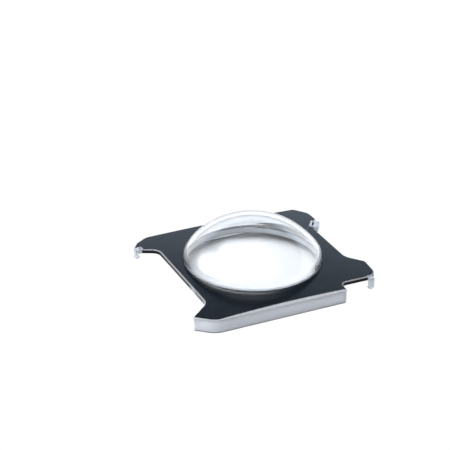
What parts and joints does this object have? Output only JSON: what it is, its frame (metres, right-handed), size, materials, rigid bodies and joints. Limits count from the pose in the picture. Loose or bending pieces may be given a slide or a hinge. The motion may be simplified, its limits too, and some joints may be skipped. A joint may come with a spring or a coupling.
{
  "type": "domed lens guard",
  "caption": "Clip-on lens guard: clear domed window in a flat frame with a black face, four horns, a clear front skirt and sprung snap claws.",
  "frame": {"origin": "on the optical axis, in the plane of the frame's underside at the foot of the dome's straight bore", "axes": "+Z along the optical axis, up through the dome; +X along the straight front edge; +Y towards the back edge"},
  "size_m": [0.0441, 0.0398, 0.0123],
  "materials": {
    "clear_moulding": "clear moulded polycarbonate, polished",
    "clear_optic": "clear optical polycarbonate, hard coated",
    "bond": "clear cured adhesive",
    "black_mask": "glossy black with a faint blue cast",
    "soft_seal": "translucent soft silicone, satin"
  },
  "bodies": {
    "frame": {"carrier_frame": "clear_moulding", "dome_window": "clear_optic", "dome_bond_ring": "bond", "mask_film": "black_mask", "seal_gasket": "soft_seal"},
    "claw_rear_left": {"claw_rear_left": "clear_moulding"},
    "claw_rear_right": {"claw_rear_right": "clear_moulding"},
    "claw_front_right": {"claw_front_right": "clear_moulding"}
  },
  "joints": [
    {"name": "rear_left_flex", "type": "hinge", "parent": "frame", "child": "claw_rear_left", "pos_m": [-0.02085, 0.01335, 0.0009], "axis": [0, 1, 0], "range_deg": [0, 5], "stiffness_Nm_per_rad": 0.25},
    {"name": "rear_right_flex", "type": "hinge", "parent": "frame", "child": "claw_rear_right", "pos_m": [0.01908, 0.00891, 0.0009], "axis": [-0.5934, -0.8049, 0], "range_deg": [0, 5], "stiffness_Nm_per_rad": 0.25},
    {"name": "front_right_flex", "type": "hinge", "parent": "frame", "child": "claw_front_right", "pos_m": [0.0192, -0.0178, 0.0009], "axis": [-1, 0, 0], "range_deg": [0, 5], "stiffness_Nm_per_rad": 0.25}
  ]
}
